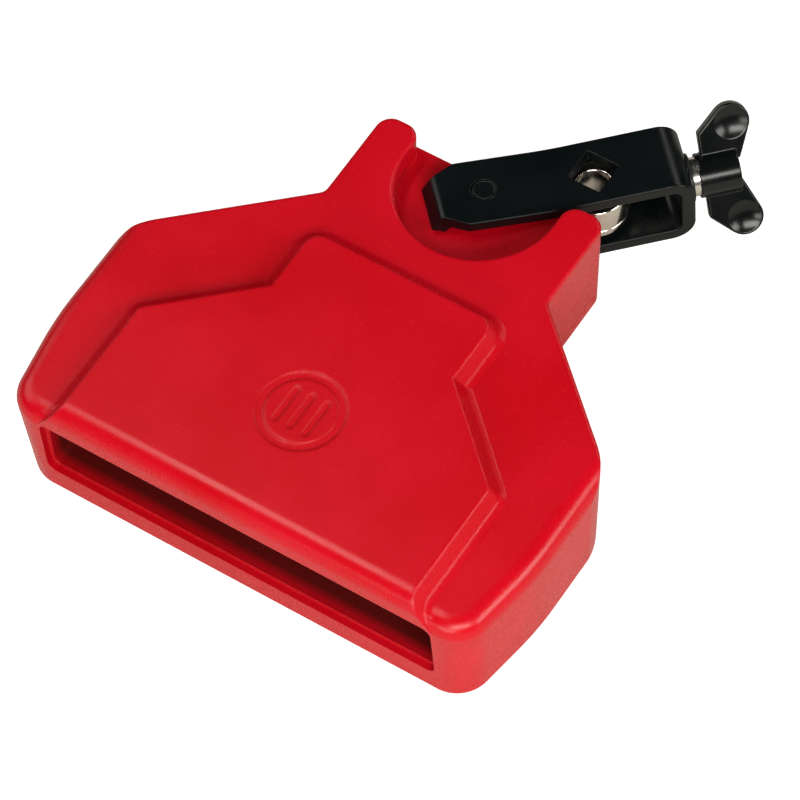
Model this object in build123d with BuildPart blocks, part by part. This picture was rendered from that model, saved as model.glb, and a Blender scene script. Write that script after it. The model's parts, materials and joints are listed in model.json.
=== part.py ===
from build123d import *
from math import atan2, cos, radians, sin, tan
import os

# Percussion block with a swivelling rod clamp, in millimetres.
# X runs along the mouth, Y from the mouth to the horns and Z up.
# The origin lies on the flat underside, on the mirror plane.

# Block, overall
arm_thickness = 44.0
panel_rise = 6.0
front_draft = 0.9
side_draft = 3.5
mouth_y = -54.0
front_half_width = 88.2
side_half_width = 93.9
bulge_y = -18.0
bulge_radius = 120.0
front_corner_radius = 12.5
front_round = 6.5
rear_corner_y = 21.4
rear_corner_radius = 26.0
edge_round = 1.2
bottom_round = 2.5

# Raised panel on the upper face
panel_slope = 35.0
panel_front_half_width = 66.9
panel_shoulder_y = -5.6
panel_neck_half_width = 34.7
panel_neck_y = 23.5
panel_back_y = 48.0
panel_edge_round = 0.8
foot_height = 1.1
foot_slope = 62.0

# Horns, crescent and web
horn_outer_x = 43.4
horn_inner_x = 28.5
horn_tip_y = 103.5
horn_corner_radius = 5.8
neck_y = 66.6
neck_radius = 4.0
crescent_y = 93.9
web_z = 22.4
web_half_thickness = 10.4
web_rear_y = 103.4
web_corner_x = 33.0
web_edge_round = 0.6

# Mouth and cavity, centred on mouth_z
mouth_z = 25.0
mouth_width = 150.0
mouth_height = 27.0
mouth_corner = 3.5
lip_depth = 3.2
lip_step = 1.0
cavity_side_y = 4.0
cavity_neck_half_width = 36.0
cavity_neck_y = 42.0
cavity_back_y = 48.0
cavity_round = 2.5

# Shallow ring mark in the upper panel
mark_y = -12.0
mark_radius = 15.0
mark_width = 3.0
mark_depth = 0.4

# Clamp strap, measured along its axis from the pivot
pivot_y = 95.6
clamp_angle = 45.0
strap_width = 25.4
strap_thickness = 4.75
strap_half_height = 15.2
strap_end = 68.6
strap_bend = 8.0
kink_at = 24.0
kink_radius = 120.0
leg_end = -15.8
leg_flare = 0.1
lip_run = 3.6
lip_drop = 6.3
taper_from = -7.0
leg_end_half_width = 8.2
strap_edge_round = 0.8
rod_at = 37.0
diamond_side = 12.4
shank_hole_radius = 4.3

# Pivot
sleeve_radius = 4.35
pin_radius = 3.55
pivot_clearance = 0.06
press_gap = 0.02
sleeve_half_length = 17.4
pin_half_length = 17.55

# Eye bolt
eye_radius = 11.8
eye_half_height = 7.0
eye_bore_radius = 6.1
eye_rim_height = 3.2
eye_rim_step = 0.3
eye_groove_depth = 0.7
eye_groove_width = 0.9
eye_edge_round = 1.0
shank_radius = 3.95
shank_end = 82.6
shank_chamfer = 0.8

# Washer, insert and wing nut
washer_radius = 8.3
washer_thickness = 1.2
flange_radius = 6.6
flange_thickness = 2.2
insert_radius = 5.2
insert_bore_radius = 4.0
insert_length = 10.5
boss_radius = 7.6
boss_length = 14.0
boss_bore_radius = 4.6
wing_twist = 34.5
wing_thickness = 4.2
wing_reach = 17.1
wing_tip_radius = 6.5
wing_tip_offset = 6.65
wing_root = 5.0
wing_corner = 15.0
wing_edge_round = 0.7
dish_radius = 5.9
dish_depth = 1.3

panel_top_z = arm_thickness + panel_rise
front_lean = tan(radians(front_draft))
side_lean = tan(radians(side_draft))

clamp_direction = (cos(radians(clamp_angle)), sin(radians(clamp_angle)), 0)
clamp_near_side = (sin(radians(clamp_angle)), -cos(radians(clamp_angle)), 0)
clamp_origin = (0, pivot_y, web_z)
clamp_side = Plane(clamp_origin, x_dir=clamp_direction, z_dir=clamp_near_side)
clamp_plan = Plane(clamp_origin, x_dir=clamp_direction, z_dir=(0, 0, 1))


def across_clamp(distance):
    """Plane square to the clamp's axis at a distance from the pivot."""
    return Plane(clamp_plan.from_local_coords((distance, 0, 0)), x_dir=clamp_near_side, z_dir=clamp_direction)


def front_outline(depth):
    """Half of the front and side outline, at a depth below the arms' top face."""
    front_y = mouth_y + depth * front_lean
    return FilletPolyline(
        (0, front_y),
        (front_half_width - depth * side_lean, front_y),
        (side_half_width - depth * side_lean, bulge_y),
        (side_half_width - depth * side_lean, horn_tip_y + 10),
        (0, horn_tip_y + 10),
        radius=(front_corner_radius, bulge_radius, 0),
    )


# The plan outline of shoulders, horns and crescent, drafted inwards towards the bottom.
with BuildPart() as horned_slab:
    with BuildSketch(Plane.XY.offset(arm_thickness)):
        with BuildLine():
            shoulder = FilletPolyline(
                (0, mouth_y - 8),
                (side_half_width + 0.1, mouth_y - 8),
                (side_half_width + 0.1, rear_corner_y),
                (horn_outer_x, neck_y),
                (horn_outer_x, horn_tip_y),
                (horn_inner_x, horn_tip_y),
                (horn_inner_x, crescent_y),
                radius=(0, rear_corner_radius, neck_radius, horn_corner_radius, horn_corner_radius),
            )
            RadiusArc(shoulder @ 1, (0, crescent_y - horn_inner_x), horn_inner_x)
            mirror(about=Plane.YZ)
        make_face()
    extrude(amount=-arm_thickness, taper=side_draft)
    slab_faces = horned_slab.faces().sort_by(Axis.Z)
    fillet(slab_faces[-1].edges(), edge_round)
    fillet(slab_faces[0].edges(), bottom_round)

# The stepped panel. Its sloped walls run on down into the slab, and its front edge is rounded.
with BuildPart() as panel:
    with BuildSketch(Plane.XY.offset(panel_top_z)) as panel_outline:
        with BuildLine():
            FilletPolyline(
                (0, mouth_y),
                (panel_front_half_width, mouth_y),
                (panel_front_half_width, panel_shoulder_y),
                (panel_neck_half_width, panel_neck_y),
                (panel_neck_half_width, panel_back_y),
                (0, panel_back_y),
                radius=(0, 2, 0, 5),
            )
            mirror(about=Plane.YZ)
        make_face()
    extrude(amount=-2.2 * panel_rise, taper=-panel_slope)
    fillet(panel.faces().sort_by(Axis.Z)[-1].edges(), panel_edge_round)
    with BuildSketch(Plane.XY.offset(arm_thickness + foot_height)):
        add(panel_outline.sketch_local)
        offset(amount=(panel_rise - foot_height) * tan(radians(panel_slope)))
        with Locations((0, mouth_y + front_round)):
            Rectangle(2 * side_half_width, horn_tip_y, align=(Align.CENTER, Align.MIN), mode=Mode.INTERSECT)
    extrude(amount=-2 * foot_height, taper=-foot_slope)
    with BuildSketch(Plane.YZ):
        with BuildLine():
            FilletPolyline(
                (mouth_y + mouth_z * front_lean, arm_thickness - mouth_z),
                (mouth_y - panel_rise * front_lean, panel_top_z),
                (horn_tip_y, panel_top_z),
                (horn_tip_y, arm_thickness - mouth_z),
                radius=(front_round, 0),
            )
            Line((horn_tip_y, arm_thickness - mouth_z), (mouth_y + mouth_z * front_lean, arm_thickness - mouth_z))
        make_face()
    extrude(amount=side_half_width, both=True, mode=Mode.INTERSECT)

with BuildPart() as cavity:
    with BuildSketch(Plane.XY.offset(mouth_z)):
        with BuildLine():
            FilletPolyline(
                (0, mouth_y + lip_depth / 2),
                (mouth_width / 2 - lip_step, mouth_y + lip_depth / 2),
                (mouth_width / 2 - lip_step, cavity_side_y),
                (cavity_neck_half_width, cavity_neck_y),
                (cavity_neck_half_width, cavity_back_y),
                (0, cavity_back_y),
                radius=(0, 8, 3, 3),
            )
            mirror(about=Plane.YZ)
        make_face()
    extrude(amount=mouth_height / 2 - lip_step, both=True)
    long_edges = cavity.edges().group_by(Axis.Z)
    fillet(long_edges[0] + long_edges[-1], cavity_round)

with BuildPart() as block_body:
    for depth in (0, arm_thickness):
        with BuildSketch(Plane.XY.offset(arm_thickness - depth)):
            with BuildLine():
                front_outline(depth)
                mirror(about=Plane.YZ)
            make_face()
    loft(ruled=True)
    body_faces = block_body.faces().sort_by(Axis.Z)
    fillet(body_faces[-1].edges().sort_by(Axis.Y)[:-1], front_round)
    fillet(body_faces[0].edges().sort_by(Axis.Y)[:-1], bottom_round)
    add(horned_slab.part, mode=Mode.INTERSECT)
    with BuildSketch(Plane.XY.offset(web_z)):
        with BuildLine():
            Polyline(
                (0, crescent_y - horn_inner_x - 4),
                (web_corner_x + 2, crescent_y - horn_inner_x - 4),
                (web_corner_x + 2, horn_tip_y - horn_corner_radius),
                (web_corner_x, web_rear_y),
                (0, web_rear_y),
            )
            mirror(about=Plane.YZ)
        make_face()
    extrude(amount=web_half_thickness, both=True)
    web_back = block_body.edges().filter_by(Axis.X).filter_by_position(Axis.Y, web_rear_y - 0.1, web_rear_y + 0.1)
    fillet(web_back, web_edge_round)
    add(panel.part)
    with BuildSketch(Plane((0, mouth_y - 1, mouth_z), x_dir=(1, 0, 0), z_dir=(0, 1, 0))):
        RectangleRounded(mouth_width, mouth_height, mouth_corner)
    extrude(amount=lip_depth + 1, mode=Mode.SUBTRACT)
    add(cavity.part, mode=Mode.SUBTRACT)
    with BuildSketch(Plane.XY):
        with Locations((0, pivot_y)):
            Circle(sleeve_radius + pivot_clearance)
    extrude(amount=panel_top_z, mode=Mode.SUBTRACT)
    with BuildSketch(Plane.XY.offset(panel_top_z)):
        with Locations((0, mark_y)):
            Circle(mark_radius)
            Circle(mark_radius - mark_width, mode=Mode.SUBTRACT)
            with Locations((0, 0), (-mark_radius / 2.6, 0), (mark_radius / 2.6, 0)):
                RectangleRounded(mark_width * 0.8, mark_radius, mark_width * 0.39)
    extrude(amount=-mark_depth, mode=Mode.SUBTRACT)
block_body.part.label = "block_body"

# The strap's side profile: both legs, the closed end and the bent leg ends.
flare_rise = leg_flare * (kink_at - leg_end)
outer_leg = [
    (leg_end - lip_run, strap_half_height + flare_rise - lip_drop),
    (leg_end, strap_half_height + flare_rise),
    (kink_at, strap_half_height),
    (strap_end, strap_half_height),
]


def inward(start, end):
    """Offset of one strap thickness to the right of the way from start to end."""
    angle = atan2(end[1] - start[1], end[0] - start[0])
    return strap_thickness * sin(angle), -strap_thickness * cos(angle)


def inner_corner(before, corner, after):
    """Where the two inner surfaces meet at a corner of the outer leg."""
    first = inward(before, corner)
    second = inward(corner, after)
    scale = 2 * strap_thickness**2 / ((first[0] + second[0]) ** 2 + (first[1] + second[1]) ** 2)
    return corner[0] + scale * (first[0] + second[0]), corner[1] + scale * (first[1] + second[1])


lip_shift = inward(outer_leg[0], outer_leg[1])
inner_leg = [
    (outer_leg[0][0] + lip_shift[0], outer_leg[0][1] + lip_shift[1]),
    inner_corner(*outer_leg[0:3]),
    inner_corner(*outer_leg[1:4]),
    (strap_end - strap_thickness, strap_half_height - strap_thickness),
]

with BuildPart() as clamp_strap:
    with BuildSketch(clamp_side):
        with BuildLine():
            FilletPolyline(
                (strap_end, 0),
                *reversed(outer_leg),
                *inner_leg,
                (strap_end - strap_thickness, 0),
                radius=(strap_bend, kink_radius, 3, 0, 0, 1, kink_radius + strap_thickness, strap_bend - strap_thickness),
            )
            mirror(about=Plane.XZ)
        make_face()
    extrude(amount=strap_width / 2, both=True)
    strap_sides = clamp_strap.faces().sort_by(Axis(clamp_origin, clamp_near_side))
    fillet(strap_sides[0].edges() + strap_sides[-1].edges(), strap_edge_round)
    with BuildSketch(clamp_plan):
        with BuildLine():
            Polyline(
                (strap_end + 1, 0),
                (strap_end + 1, strap_width / 2),
                (taper_from, strap_width / 2),
                (leg_end, leg_end_half_width),
                (leg_end - lip_run - 1, leg_end_half_width),
                (leg_end - lip_run - 1, 0),
            )
            mirror(about=Plane.XZ)
        make_face()
    extrude(amount=strap_half_height + 10, both=True, mode=Mode.INTERSECT)

    with BuildSketch(clamp_plan):
        with Locations((rod_at, 0)):
            RectangleRounded(diamond_side, diamond_side, 0.6, rotation=45)
        Circle(sleeve_radius + press_gap)
    extrude(amount=strap_half_height + 10, both=True, mode=Mode.SUBTRACT)
    with BuildSketch(across_clamp(strap_end / 2)):
        Circle(shank_hole_radius)
    extrude(amount=strap_end, mode=Mode.SUBTRACT)
clamp_strap.part.label = "clamp_strap"

with BuildPart() as pivot_sleeve:
    with BuildSketch(clamp_plan):
        Circle(sleeve_radius)
        Circle(pin_radius + press_gap, mode=Mode.SUBTRACT)
    extrude(amount=sleeve_half_length, both=True)
    chamfer(pivot_sleeve.edges().filter_by(GeomType.CIRCLE), 0.2)
pivot_sleeve.part.label = "pivot_sleeve"

with BuildPart() as pivot_pin:
    with BuildSketch(clamp_plan):
        Circle(pin_radius)
    extrude(amount=pin_half_length, both=True)
    fillet(pivot_pin.edges().filter_by(GeomType.CIRCLE), 0.4)
pivot_pin.part.label = "pivot_pin"

# A barrel eye with a groove above its lower rim, and its shank along the clamp's axis.
with BuildPart() as eye_bolt:
    with BuildSketch(clamp_side):
        groove_z = eye_rim_height - eye_half_height
        with BuildLine():
            FilletPolyline(
                (rod_at, eye_half_height),
                (rod_at + eye_radius, eye_half_height),
                (rod_at + eye_radius, groove_z + eye_groove_width / 2),
                (rod_at + eye_radius - eye_groove_depth, groove_z),
                (rod_at + eye_radius - eye_rim_step, groove_z - eye_groove_width / 2),
                (rod_at + eye_radius - eye_rim_step, -eye_half_height),
                (rod_at, -eye_half_height),
                radius=(eye_edge_round, 0, 0, 0, eye_edge_round),
            )
            Line((rod_at, eye_half_height), (rod_at, -eye_half_height))
        make_face()
    eye_axis = Axis(clamp_side.from_local_coords((rod_at, 0, 0)), (0, 0, 1))
    revolve(axis=eye_axis)
    with BuildSketch(across_clamp(rod_at)):
        Circle(shank_radius)
    extrude(amount=shank_end - rod_at)
    chamfer(eye_bolt.faces().sort_by(Axis(clamp_origin, clamp_direction))[-1].edges(), shank_chamfer)
    with BuildSketch(clamp_plan):
        with Locations((rod_at, 0)):
            Circle(eye_bore_radius)
    extrude(amount=eye_half_height + 1, both=True, mode=Mode.SUBTRACT)
eye_bolt.part.label = "eye_bolt"

washer_end = strap_end + washer_thickness
flange_end = washer_end + flange_thickness

with BuildPart() as friction_washer:
    with BuildSketch(across_clamp(strap_end)):
        Circle(washer_radius)
        Circle(shank_hole_radius, mode=Mode.SUBTRACT)
    extrude(amount=washer_thickness)
    fillet(friction_washer.edges().filter_by(GeomType.CIRCLE), 0.3)
friction_washer.part.label = "friction_washer"

with BuildPart() as nut_insert:
    with BuildSketch(across_clamp(washer_end)):
        Circle(flange_radius)
    extrude(amount=flange_thickness)
    with BuildSketch(across_clamp(flange_end)):
        Circle(insert_radius)
    extrude(amount=insert_length)
    with BuildSketch(across_clamp(washer_end)):
        Circle(insert_bore_radius)
    extrude(amount=flange_thickness + insert_length, mode=Mode.SUBTRACT)
nut_insert.part.label = "nut_insert"

# Both wings lie in one plane through the clamp's axis, turned about that axis from upright.
twist = radians(wing_twist)
wing_normal = (cos(twist) * clamp_near_side[0], cos(twist) * clamp_near_side[1], sin(twist))
boss_centre = clamp_plan.from_local_coords((flange_end + boss_length / 2, 0, 0))
wing_plane = Plane(boss_centre, x_dir=clamp_direction, z_dir=wing_normal)
dish_sphere = (dish_radius**2 + dish_depth**2) / (2 * dish_depth)
dish_centre = wing_thickness / 2 + dish_sphere - dish_depth

with BuildPart() as wing_nut:
    with BuildSketch(wing_plane):
        with Locations((wing_tip_offset, wing_reach)):
            Circle(wing_tip_radius)
        with BuildLine():
            Polyline(
                (-wing_root, 0),
                (-wing_root, wing_corner),
                (boss_length / 2 - 0.5, wing_corner),
                (boss_length / 2 - 0.5, 0),
                close=True,
            )
        make_face()
        make_hull()
    extrude(amount=wing_thickness / 2, both=True)
    across_wing = Axis(boss_centre, wing_normal)
    wing_faces = wing_nut.faces().sort_by(across_wing)
    fillet(wing_faces[0].edges() + wing_faces[-1].edges(), wing_edge_round)
    for height in (-dish_centre, dish_centre):
        with Locations(wing_plane.from_local_coords((wing_tip_offset, wing_reach, height))):
            Sphere(dish_sphere, mode=Mode.SUBTRACT)
    mirror(about=Plane(boss_centre, x_dir=clamp_direction, z_dir=wing_plane.y_dir))
    with BuildSketch(across_clamp(flange_end)):
        Circle(boss_radius)
    extrude(amount=boss_length)
    with BuildSketch(across_clamp(flange_end)):
        Circle(boss_bore_radius)
    extrude(amount=boss_length + wing_root, mode=Mode.SUBTRACT)
    with BuildSketch(across_clamp(flange_end)):
        Circle(insert_radius + press_gap)
    extrude(amount=insert_length, mode=Mode.SUBTRACT)
wing_nut.part.label = "wing_nut"

pieces = (block_body, clamp_strap, pivot_sleeve, pivot_pin, eye_bolt, friction_washer, nut_insert, wing_nut)
os.makedirs("parts", exist_ok=True)
for piece in pieces:
    export_step(piece.part, "parts/" + piece.part.label + ".step")
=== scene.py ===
import json
import math

import bpy
import bmesh
from mathutils import Matrix, Vector


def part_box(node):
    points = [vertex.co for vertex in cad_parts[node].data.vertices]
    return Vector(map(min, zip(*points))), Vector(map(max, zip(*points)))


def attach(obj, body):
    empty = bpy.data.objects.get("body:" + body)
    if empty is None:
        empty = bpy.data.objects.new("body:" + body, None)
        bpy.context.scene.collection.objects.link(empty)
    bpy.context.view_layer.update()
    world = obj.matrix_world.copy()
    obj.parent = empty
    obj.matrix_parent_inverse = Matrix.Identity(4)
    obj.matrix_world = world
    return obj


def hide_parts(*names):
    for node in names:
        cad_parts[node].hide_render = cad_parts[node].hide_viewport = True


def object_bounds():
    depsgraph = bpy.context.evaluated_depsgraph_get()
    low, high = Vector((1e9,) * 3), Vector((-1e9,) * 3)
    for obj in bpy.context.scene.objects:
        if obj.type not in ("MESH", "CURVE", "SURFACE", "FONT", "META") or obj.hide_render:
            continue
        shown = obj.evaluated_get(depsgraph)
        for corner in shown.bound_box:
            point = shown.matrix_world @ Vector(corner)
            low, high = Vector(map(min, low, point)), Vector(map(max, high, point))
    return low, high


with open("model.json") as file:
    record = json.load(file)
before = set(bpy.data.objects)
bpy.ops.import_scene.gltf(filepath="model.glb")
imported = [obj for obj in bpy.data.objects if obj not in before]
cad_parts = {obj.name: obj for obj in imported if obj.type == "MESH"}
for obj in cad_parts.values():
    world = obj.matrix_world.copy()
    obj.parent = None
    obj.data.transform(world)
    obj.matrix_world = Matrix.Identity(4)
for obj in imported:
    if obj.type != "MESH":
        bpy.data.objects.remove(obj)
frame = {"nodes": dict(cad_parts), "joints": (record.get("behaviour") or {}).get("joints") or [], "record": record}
nodes = frame["nodes"]
joints = {joint["name"]: joint for joint in frame["joints"]}
cad_low, cad_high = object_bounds()

MM = 0.001

# Camera: direction and roll in degrees, distance and target in metres, lens in millimetres
VIEW_AZIMUTH = 38.2365
VIEW_ELEVATION = 57.3196
VIEW_ROLL = -6.2678
VIEW_DISTANCE = 1.6206
VIEW_TARGET = Vector((0.01496, 0.02028, 0.025))
LENS = 225.0

# Lights stand at one distance from the target and are slightly warm.
LIGHT_DISTANCE = 1.3
LIGHT_COLOUR = (1.0, 0.97, 0.91)

# Brightness of the studio walls, overhead and low at the back
SKY_DARK = 0.02
SKY_PALE = 0.22

# Floor: half size, gap under the object, glow and colour to the camera, and colour to other rays
FLOOR_HALF_SIZE = 3.0
FLOOR_GAP = 0.2 * MM
FLOOR_GLOW = 0.8
PAPER_LOW = (0.74, 0.74, 0.74)
PAPER_HIGH = (0.76, 0.76, 0.76)
FLOOR_BOUNCE = (0.64, 0.62, 0.57)

# Height of the panel's foot, and limits of the block's cavity, which narrows towards its back
FOOT_HEIGHT = 44 * MM
CAVITY_HALF_WIDTH = 76 * MM
CAVITY_BOTTOM = 11 * MM
CAVITY_TOP = 39 * MM
CAVITY_BACK = 49 * MM
CAVITY_SLANT = 84 * MM

# The cavity's painted shade deepens between these depths behind the front.
PAINTED_SHADE_START = 2.5 * MM
PAINTED_SHADE_END = 8 * MM

# Edges look softly rounded over these radii, below the panel's foot and above it.
LOW_EDGE_SOFTNESS = 0.25 * MM
HIGH_EDGE_SOFTNESS = 1.3 * MM

# Linear colours of the red plastic
RED_DEEP = (0.55, 0.0014, 0.0080)
RED_BRIGHT = (0.62, 0.0020, 0.0140)
RED_GRAIN = (0.40, 0.0010, 0.0070)
RED_SPECK = (0.78, 0.02, 0.03)
# Paler edges, partly rubbed wear and partly painted highlight
RED_EDGE_WEAR_AND_HIGHLIGHT = (0.85, 0.07, 0.06)
# Painted shade for the inside of the cavity, where little light reaches
RED_PAINTED_SHADE = (0.09, 0.006, 0.005)

# Sleeve: wall and rolled rim
SLEEVE_WALL = 0.8 * MM
SLEEVE_ROUND = 0.3 * MM

# Eye: rounding of its rims, the step of its lower rim, and the groove above that rim
RIM_ROUND = 0.9 * MM
RIM_STEP = 0.3 * MM
GROOVE_HEIGHT = 3.2 * MM
GROOVE_HALF_WIDTH = 0.45 * MM
GROOVE_DEPTH = 0.7 * MM
BORE_MARGIN = 0.1 * MM
BARREL_SEGMENTS = 128

# Shank: it starts inside the barrel's wall, stays plain for a short way and ends in a chamfered tip
SHANK_RADIUS = 3.95 * MM
SHANK_ROOT = 1.0 * MM
SHANK_PLAIN = 1.0 * MM
TIP_SLOPE = 0.8
THREAD_LEAD = 1.25 * MM
THREAD_DEPTH = 0.62 * MM
THREAD_ROWS = 10
THREAD_SEGMENTS = 48

# Wing nut: grid and passes that blend its corners
WING_GRID = 0.3 * MM
WING_PASSES = 4


# ---------------------------------------------------------------- materials

class Nodes:
    """One material and short ways to add nodes to its tree. Its coordinates are those of the frame."""

    def __init__(self, name):
        self.material = bpy.data.materials.new(name)
        self.material.use_nodes = True
        self.tree = self.material.node_tree
        self.bsdf = self.tree.nodes["Principled BSDF"]
        coords = self.tree.nodes.new("ShaderNodeTexCoord")
        self.coords = coords.outputs["Object"]

    def add(self, kind, **inputs):
        """Adds a node and sets its inputs, each to a value or to another node's output."""
        node = self.tree.nodes.new(kind)
        for key, value in inputs.items():
            self.put(node, key.replace("_", " "), value)
        return node

    def put(self, node, key, value):
        socket = node.inputs[int(key) if key.isdigit() else key]
        if isinstance(value, bpy.types.NodeSocket):
            self.tree.links.new(value, socket)
        else:
            socket.default_value = value

    def noise(self, scale, detail=3.0, roughness=0.55):
        """Noise between 0 and 1 with cells of about 1 / scale metres."""
        texture = {"Scale": scale, "Detail": detail, "Roughness": roughness}
        return self.add("ShaderNodeTexNoise", Vector=self.coords, **texture).outputs["Fac"]

    def ramp(self, value, low, high, start=0.0, end=1.0):
        """Maps start..end of value onto low..high, clamped."""
        node = self.add("ShaderNodeMapRange", Value=value)
        node.inputs["From Min"].default_value = start
        node.inputs["From Max"].default_value = end
        node.inputs["To Min"].default_value = low
        node.inputs["To Max"].default_value = high
        return node.outputs["Result"]

    def mix(self, share, first, second):
        """Mix of two colours, each three numbers or a colour socket."""
        node = self.tree.nodes.new("ShaderNodeMix")
        node.data_type = "RGBA"
        self.put_mix(node.inputs[0], share)
        self.put_mix(node.inputs[6], first)
        self.put_mix(node.inputs[7], second)
        return node.outputs[2]

    def put_mix(self, socket, value):
        if isinstance(value, bpy.types.NodeSocket):
            self.tree.links.new(value, socket)
        elif isinstance(value, tuple):
            socket.default_value = (*value, 1.0)
        else:
            socket.default_value = value

    def math(self, operation, first, second):
        node = self.tree.nodes.new("ShaderNodeMath")
        node.operation = operation
        self.put(node, "0", first)
        self.put(node, "1", second)
        return node.outputs[0]

    def soft(self, radius):
        """Surface normal with every edge and inner corner rounded over a radius in metres."""
        node = self.add("ShaderNodeBevel", Radius=radius)
        node.samples = 6
        return node.outputs["Normal"]

    def edges(self, radius):
        """0 on flat surface, rising to 1 within a radius of any edge or inner corner."""
        node = self.tree.nodes.new("ShaderNodeVectorMath")
        node.operation = "DOT_PRODUCT"
        self.put(node, "0", self.soft(radius))
        self.put(node, "1", self.tree.nodes.new("ShaderNodeNewGeometry").outputs["Normal"])
        return self.ramp(node.outputs["Value"], 1.0, 0.0, 0.88, 0.995)

    def bump(self, height, distance, strength, under=None):
        node = self.add("ShaderNodeBump", Height=height, Distance=distance, Strength=strength)
        if under is not None:
            self.put(node, "Normal", under)
        return node.outputs["Normal"]

    def finish(self, **inputs):
        """Sets the shader's inputs and gives the material."""
        for key, value in inputs.items():
            socket = self.bsdf.inputs[key.replace("_", " ")]
            if isinstance(value, bpy.types.NodeSocket):
                self.tree.links.new(value, socket)
            elif isinstance(value, tuple):
                socket.default_value = (*value, 1.0)
            else:
                socket.default_value = value
        return self.material


def red_plastic():
    """Satin moulded plastic with a fine grain, faint specks, paler edges that are partly wear and partly painted
    highlight, and painted shade inside the cavity.
    """
    m = Nodes("red_plastic_look")
    cloud = m.noise(22.0, 4.0)
    grain = m.noise(1500.0, 3.0, 0.65)
    specks = m.ramp(m.noise(800.0, 1.0), 0.0, 1.0, 0.66, 0.74)
    colour = m.mix(m.ramp(cloud, 0.0, 1.0, 0.35, 0.7), RED_DEEP, RED_BRIGHT)
    colour = m.mix(m.ramp(grain, 0.0, 0.15, 0.45, 0.75), colour, RED_GRAIN)
    colour = m.mix(m.math("MULTIPLY", specks, 0.3), colour, RED_SPECK)
    # Edges are paled, partly as wear and partly as a painted highlight.
    colour = m.mix(m.math("MULTIPLY", m.edges(0.6 * MM), 0.2), colour, RED_EDGE_WEAR_AND_HIGHLIGHT)
    # Painted shade darkens the cavity a little way behind the mouth.
    colour = m.mix(cavity_shade_mask(m), colour, RED_PAINTED_SHADE)
    mixed = m.math("ADD", m.math("MULTIPLY", cloud, 0.5), m.math("MULTIPLY", grain, 0.5))
    rough = m.ramp(mixed, 0.22, 0.32, 0.3, 0.7)
    height = m.add("ShaderNodeSeparateXYZ", Vector=m.coords).outputs["Z"]
    foot = (FOOT_HEIGHT - 4 * MM, FOOT_HEIGHT - 1 * MM)
    radius = m.ramp(height, LOW_EDGE_SOFTNESS, HIGH_EDGE_SOFTNESS, *foot)
    fine = m.bump(grain, 0.05 * MM, 0.12, m.soft(radius))
    wavy = m.bump(m.noise(140.0, 2.0), 0.2 * MM, 0.08, fine)
    return m.finish(Base_Color=colour, Roughness=rough, Normal=wavy, IOR=1.4)


def cavity_shade_mask(m):
    """Mask of the painted shade: 0 at the mouth, rising to 1 a little way inside the cavity, and 0 on every outer
    face.
    """
    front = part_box("block_body")[0].y
    split = m.add("ShaderNodeSeparateXYZ", Vector=m.coords)
    across = m.math("ABSOLUTE", split.outputs["X"], 0.0)
    inside = m.math("LESS_THAN", across, CAVITY_HALF_WIDTH)
    slant = m.math("ADD", across, split.outputs["Y"])
    inside = m.math("MULTIPLY", inside, m.math("LESS_THAN", slant, CAVITY_SLANT))
    for side, limit in (("GREATER_THAN", CAVITY_BOTTOM), ("LESS_THAN", CAVITY_TOP)):
        inside = m.math("MULTIPLY", inside, m.math(side, split.outputs["Z"], limit))
    inside = m.math("MULTIPLY", inside, m.math("LESS_THAN", split.outputs["Y"], CAVITY_BACK))
    inward = m.ramp(split.outputs["Y"], 0.0, 0.97, front + PAINTED_SHADE_START, front + PAINTED_SHADE_END)
    return m.math("MULTIPLY", inside, inward)


def black_coat():
    """Satin powder coat with a faint orange peel, greyer on its edges as a painted reflection."""
    m = Nodes("black_coat_look")
    peel = m.noise(1500.0, 2.0)
    cloud = m.noise(60.0, 3.0)
    colour = m.mix(cloud, (0.0014, 0.0028, 0.0034), (0.0026, 0.0046, 0.0054))
    # Painted reflection: the edges are greyed to stand for the light they catch.
    colour = m.mix(m.math("MULTIPLY", m.edges(0.5 * MM), 0.2), colour, (0.04, 0.041, 0.038))
    rough = m.ramp(cloud, 0.26, 0.34, 0.3, 0.7)
    normal = m.bump(peel, 0.06 * MM, 0.3, m.soft(0.6 * MM))
    return m.finish(Base_Color=colour, Roughness=rough, Normal=normal, IOR=1.34)


def black_plastic():
    """Moulded black plastic, glossier than the coat."""
    m = Nodes("black_plastic_look")
    peel = m.noise(1900.0, 2.0)
    cloud = m.noise(80.0, 3.0)
    colour = m.mix(cloud, (0.0020, 0.0032, 0.0036), (0.0042, 0.0054, 0.0056))
    # Painted highlight: the edges are lightened to stand for the light they catch.
    colour = m.mix(m.math("MULTIPLY", m.edges(0.5 * MM), 0.4), colour, (0.05, 0.05, 0.047))
    rough = m.ramp(cloud, 0.18, 0.25, 0.3, 0.7)
    return m.finish(Base_Color=colour, Roughness=rough, Normal=m.bump(peel, 0.05 * MM, 0.25), IOR=1.42)


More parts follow.
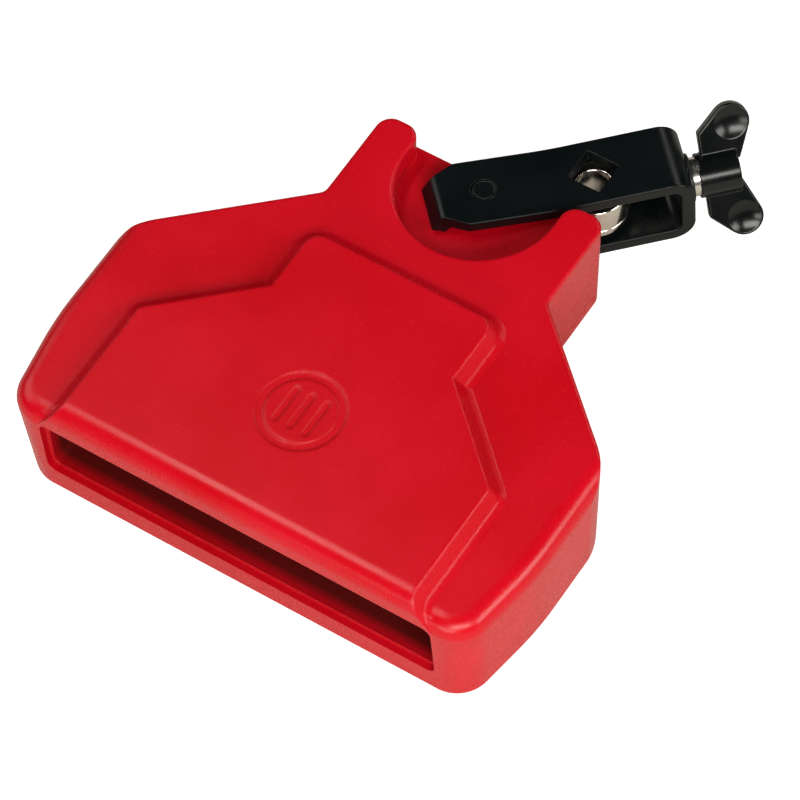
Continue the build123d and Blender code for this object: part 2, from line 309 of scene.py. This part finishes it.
def metal(name, low, high, rough_low, rough_high, stretch, wear_and_highlight=0.5, wear_and_highlight_width=0.2 * MM):
    """Metal with fine lines along the axis with the least stretch, and edges brightened, partly as wear and partly
    as a painted highlight.
    """
    m = Nodes(name)
    mapping = m.add("ShaderNodeMapping", Vector=m.coords, Scale=stretch)
    streaks = m.add("ShaderNodeTexNoise", Vector=mapping.outputs["Vector"], Scale=1.0, Detail=3.0)
    lines = streaks.outputs["Fac"]
    cloud = m.noise(150.0, 3.0)
    colour = m.mix(cloud, low, high)
    bright = tuple(min(1.0, 0.4 + 1.1 * channel) for channel in high)
    # Edges are brightened, partly as polished wear and partly as a painted highlight.
    colour = m.mix(m.math("MULTIPLY", m.edges(wear_and_highlight_width), wear_and_highlight), colour, bright)
    mixed = m.math("ADD", m.math("MULTIPLY", lines, 0.5), m.math("MULTIPLY", cloud, 0.5))
    rough = m.ramp(mixed, rough_low, rough_high, 0.3, 0.7)
    return m.finish(Base_Color=colour, Metallic=1.0, Roughness=rough, Normal=m.bump(lines, 0.02 * MM, 0.4))


def black_washer():
    """Matt black friction washer."""
    m = Nodes("black_washer_look")
    cloud = m.noise(300.0, 3.0)
    colour = m.mix(cloud, (0.008, 0.008, 0.008), (0.018, 0.018, 0.017))
    normal = m.bump(m.noise(2500.0), 0.03 * MM, 0.4)
    return m.finish(Base_Color=colour, Roughness=m.ramp(cloud, 0.4, 0.55), Normal=normal)


RED = red_plastic()
COAT = black_coat()
# The sleeve's rims are brightened fully: partly wear, partly painted highlight.
SLEEVE = metal(
    "sleeve_look", (0.012, 0.014, 0.015), (0.03, 0.032, 0.034), 0.3, 0.4, (900, 900, 60), 1.0, 0.35 * MM
)
NICKEL = metal("nickel_look", (0.80, 0.75, 0.67), (0.90, 0.86, 0.79), 0.12, 0.2, (60, 60, 1400))
BORE = metal("bore_look", (0.30, 0.23, 0.13), (0.44, 0.36, 0.23), 0.2, 0.32, (60, 60, 1400))
ZINC = metal("zinc_look", (0.74, 0.72, 0.67), (0.88, 0.86, 0.81), 0.2, 0.3, (900, 900, 900))
WASHER = black_washer()
NUT = black_plastic()


# ---------------------------------------------------------------- pieces

def wear(piece, material):
    """Gives a piece one material in place of any it has."""
    piece.data.materials.clear()
    piece.data.materials.append(material)


def place(name, mesh, material, node, body, crease=35.0):
    """Puts a mesh made in the frame in a CAD node's place."""
    mesh.shade_smooth()
    mesh.set_sharp_from_angle(angle=math.radians(crease))
    piece = bpy.data.objects.new(name, mesh)
    bpy.context.scene.collection.objects.link(piece)
    wear(piece, material)
    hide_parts(node)
    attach(piece, body)
    return piece


def ring_rows(bm, rows, close_rows):
    """Joins rows of points, each closed on itself, with faces from row to row."""
    made = [[bm.verts.new(point) for point in row] for row in rows]
    count = len(rows[0])
    pairs = list(zip(made, made[1:]))
    if close_rows:
        pairs.append((made[-1], made[0]))
    for row, following in pairs:
        for i in range(count):
            j = (i + 1) % count
            bm.faces.new((row[i], row[j], following[j], following[i]))
    return made


def around(origin, axis, across, radius, height, turn):
    """Point at a radius, height and angle in radians about an axis."""
    other = axis.cross(across)
    return origin + axis * height + (across * math.cos(turn) + other * math.sin(turn)) * radius


def lathe(bm, profile, origin, axis, across, segments=96):
    """Turned ring. The profile's (radius, height) points run round its section."""
    turns = [2 * math.pi * i / segments for i in range(segments)]
    rows = [[around(origin, axis, across, r, h, t) for t in turns] for r, h in profile]
    ring_rows(bm, rows, True)


def rounded(points, radius, steps=4):
    """Closed section with each corner rounded by an arc of one radius."""
    out = []
    for i, corner in enumerate(points):
        corner = Vector(corner)
        to_last = Vector(points[i - 1]) - corner
        to_next = Vector(points[(i + 1) % len(points)]) - corner
        half = to_last.angle(to_next) / 2
        reach = min(radius / math.tan(half), to_last.length * 0.45, to_next.length * 0.45)
        start = corner + to_last.normalized() * reach
        end = corner + to_next.normalized() * reach
        for step in range(steps + 1):
            share = step / steps
            out.append(start * (1 - share) ** 2 + corner * 2 * share * (1 - share) + end * share**2)
    return [tuple(point) for point in out]


def finished(bm, name):
    """Turns a bmesh into a mesh with its faces pointing outwards."""
    bmesh.ops.recalc_face_normals(bm, faces=bm.faces)
    mesh = bpy.data.meshes.new(name)
    bm.to_mesh(mesh)
    bm.free()
    return mesh


def blended(node, name, grid, passes):
    """Copy of a CAD node's shape with every corner and joint blended softly, as moulded."""
    rough = bpy.data.objects.new(name + "_rough", nodes[node].data.copy())
    bpy.context.scene.collection.objects.link(rough)
    remesh = rough.modifiers.new("remesh", "REMESH")
    remesh.mode = "VOXEL"
    remesh.voxel_size = grid
    relax = rough.modifiers.new("relax", "SMOOTH")
    relax.factor = 0.5
    relax.iterations = passes
    bpy.context.view_layer.update()
    seen = rough.evaluated_get(bpy.context.evaluated_depsgraph_get())
    mesh = bpy.data.meshes.new_from_object(seen)
    mesh.name = name
    bpy.data.objects.remove(rough)
    return mesh


# The clamp's axis starts at the pivot and runs outwards through the rod hole and the wing nut.
pivot = Vector(joints["clamp_swivel"]["pos_m"])
outward = Vector(joints["eye_slide"]["axis"])
upward = Vector((0, 0, 1))
sideways = outward.cross(upward)
rod_hole = frame["record"]["mounts"][0]


def pivot_sleeve():
    """Thin tube with its rims rolled over."""
    low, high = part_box("pivot_sleeve")
    outer = (high.x - low.x) / 2
    inner = outer - SLEEVE_WALL
    half = (high.z - low.z) / 2
    section = [(outer, -half), (outer, half), (inner, half), (inner, -half)]
    bm = bmesh.new()
    lathe(bm, rounded(section, SLEEVE_ROUND), pivot, upward, sideways)
    return finished(bm, "sleeve")


def add_barrel(bm, centre, radius, bore, half):
    """Barrel with a groove above its lower rim. The faces of its bore get the second material."""
    groove = GROOVE_HEIGHT - half
    deep = radius - GROOVE_DEPTH
    rim = radius - RIM_STEP
    section = [
        (bore, half),
        (radius, half),
        (radius, groove + GROOVE_HALF_WIDTH),
        (deep, groove + 0.3 * GROOVE_HALF_WIDTH),
        (deep, groove - 0.3 * GROOVE_HALF_WIDTH),
        (rim, groove - GROOVE_HALF_WIDTH),
        (rim, -half),
        (bore, -half),
    ]
    lathe(bm, rounded(section, RIM_ROUND), centre, upward, sideways, BARREL_SEGMENTS)
    for face in bm.faces:
        from_axis = face.calc_center_median() - centre
        from_axis.z = 0
        face.material_index = int(from_axis.length < bore + BORE_MARGIN)


def add_shank(bm, centre, start, plain_end, length):
    """Shank along the clamp's axis, with a helical thread that fades in and a chamfered tip."""
    rows = []
    row_count = int(length / THREAD_LEAD * THREAD_ROWS)
    for i in range(row_count + 1):
        height = length * i / row_count
        if height < start:
            continue
        depth = THREAD_DEPTH * min(1.0, max(0.0, (height - plain_end) / THREAD_LEAD))
        tip = min(SHANK_RADIUS, SHANK_RADIUS - THREAD_DEPTH + TIP_SLOPE * (length - height))
        row = []
        for j in range(THREAD_SEGMENTS):
            turn = 2 * math.pi * j / THREAD_SEGMENTS
            phase = (height / THREAD_LEAD - j / THREAD_SEGMENTS) % 1.0
            valley = min(1.0, 1.25 * abs(2 * phase - 1))
            radius = min(tip, SHANK_RADIUS - depth * valley)
            row.append(around(centre, outward, upward, radius, height, turn))
        rows.append(row)
    made = ring_rows(bm, rows, False)
    bm.faces.new(made[0])
    bm.faces.new(made[-1])


def eye_bolt():
    """Plated barrel round the rod hole, on a threaded shank that points outwards."""
    centre = Vector(rod_hole["pos_m"])
    bore = rod_hole["dims"]["r_mm"] * MM
    low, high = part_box("eye_bolt")
    radius = centre.x - low.x
    half = (high.z - low.z) / 2
    length = (high.x - centre.x - SHANK_RADIUS * outward.y) / outward.x
    bm = bmesh.new()
    add_barrel(bm, centre, radius, bore, half)
    add_shank(bm, centre, bore + SHANK_ROOT, radius + SHANK_PLAIN, length)
    return finished(bm, "eye")


place("sleeve", pivot_sleeve(), SLEEVE, "pivot_sleeve", "clamp", 60)
eye = place("eye", eye_bolt(), NICKEL, "eye_bolt", "eye")
eye.data.materials.append(BORE)

# The moulded boss and wings run into each other with soft fillets.
wings = blended("wing_nut", "wings", WING_GRID, WING_PASSES)
place("wings", wings, NUT, "wing_nut", "nut", 70)

wear(nodes["block_body"], RED)
wear(nodes["clamp_strap"], COAT)
wear(nodes["pivot_pin"], COAT)
wear(nodes["friction_washer"], WASHER)
wear(nodes["nut_insert"], ZINC)


# ---------------------------------------------------------------- stage, light and camera

def floor():
    """Sheet of pale paper that looks white to the camera and bounces weaker light onto the object."""
    mesh = bpy.data.meshes.new("floor")
    bm = bmesh.new()
    bmesh.ops.create_grid(bm, x_segments=8, y_segments=8, size=FLOOR_HALF_SIZE)
    bm.to_mesh(mesh)
    bm.free()
    obj = bpy.data.objects.new("floor", mesh)
    obj.location.z = cad_low.z - FLOOR_GAP
    bpy.context.scene.collection.objects.link(obj)
    m = Nodes("floor_look")
    seen = m.tree.nodes.new("ShaderNodeLightPath").outputs["Is Camera Ray"]
    paper = m.mix(m.noise(40.0), PAPER_LOW, PAPER_HIGH)
    paper = m.mix(seen, FLOOR_BOUNCE, paper)
    glow = {"Emission_Color": (1.0, 1.0, 1.0), "Emission_Strength": m.ramp(seen, 0.0, FLOOR_GLOW)}
    wear(obj, m.finish(Base_Color=paper, Roughness=0.9, Specular_IOR_Level=0.1, **glow))


def soft_box(name, azimuth, elevation, width, height, power):
    """Rectangular light aimed at the object. Sizes are in metres and power in watts."""
    data = bpy.data.lights.new(name, "AREA")
    data.shape = "RECTANGLE"
    data.size = width
    data.size_y = height
    data.energy = power
    data.color = LIGHT_COLOUR
    obj = bpy.data.objects.new(name, data)
    back = direction(azimuth, elevation)
    obj.location = VIEW_TARGET + back * LIGHT_DISTANCE
    obj.rotation_mode = "QUATERNION"
    obj.rotation_quaternion = back.to_track_quat("Z", "Y")
    bpy.context.scene.collection.objects.link(obj)


def direction(azimuth, elevation):
    """Unit vector towards a viewer. Azimuth 0 faces the mouth and 90 the right side."""
    a = math.radians(azimuth)
    e = math.radians(elevation)
    return Vector((math.sin(a) * math.cos(e), -math.cos(a) * math.cos(e), math.sin(e)))


def camera():
    """Long lens at the viewing angle, rolled a little."""
    data = bpy.data.cameras.new("camera")
    data.lens = LENS
    data.sensor_width = 36.0
    data.clip_start = 0.1
    data.clip_end = 20.0
    obj = bpy.data.objects.new("camera", data)
    back = direction(VIEW_AZIMUTH, VIEW_ELEVATION)
    obj.location = VIEW_TARGET + back * VIEW_DISTANCE
    obj.rotation_mode = "QUATERNION"
    turn = back.to_track_quat("Z", "Y").to_matrix() @ Matrix.Rotation(math.radians(VIEW_ROLL), 3, "Z")
    obj.rotation_quaternion = turn.to_quaternion()
    bpy.context.scene.collection.objects.link(obj)
    bpy.context.scene.camera = obj


def sky():
    """Studio walls, pale low down at the back and dark overhead and behind the camera."""
    world = bpy.data.worlds.new("studio")
    world.use_nodes = True
    tree = world.node_tree
    coords = tree.nodes.new("ShaderNodeTexCoord")
    split = tree.nodes.new("ShaderNodeSeparateXYZ")
    tree.links.new(coords.outputs["Generated"], split.inputs[0])
    shares = []
    for axis, start, end in (("Z", 0.62, 0.3), ("Y", -0.25, 0.25)):
        fade = tree.nodes.new("ShaderNodeMapRange")
        fade.interpolation_type = "SMOOTHSTEP"
        tree.links.new(split.outputs[axis], fade.inputs["Value"])
        fade.inputs["From Min"].default_value = start
        fade.inputs["From Max"].default_value = end
        shares.append(fade.outputs["Result"])
    both = tree.nodes.new("ShaderNodeMath")
    both.operation = "MULTIPLY"
    tree.links.new(shares[0], both.inputs[0])
    tree.links.new(shares[1], both.inputs[1])
    level = tree.nodes.new("ShaderNodeMapRange")
    tree.links.new(both.outputs[0], level.inputs["Value"])
    level.inputs["To Min"].default_value = SKY_DARK
    level.inputs["To Max"].default_value = SKY_PALE
    tree.links.new(level.outputs["Result"], tree.nodes["Background"].inputs["Strength"])
    bpy.context.scene.world = world


floor()
sky()
camera()

# Name, azimuth, elevation, width, height and power of each light
soft_box("front_right", 42, 40, 1.0, 0.36, 12.5)
soft_box("front_low", 8, 17, 1.0, 0.3, 6.0)
soft_box("left", -85, 38, 1.0, 0.7, 4.2)
soft_box("right_back", 102, 26, 0.7, 0.4, 7.0)
soft_box("back", 172, 36, 0.6, 0.16, 1.6)
soft_box("ridge", -84, 70, 0.7, 0.09, 3.4)
bpy.context.scene.view_settings.view_transform = "Standard"
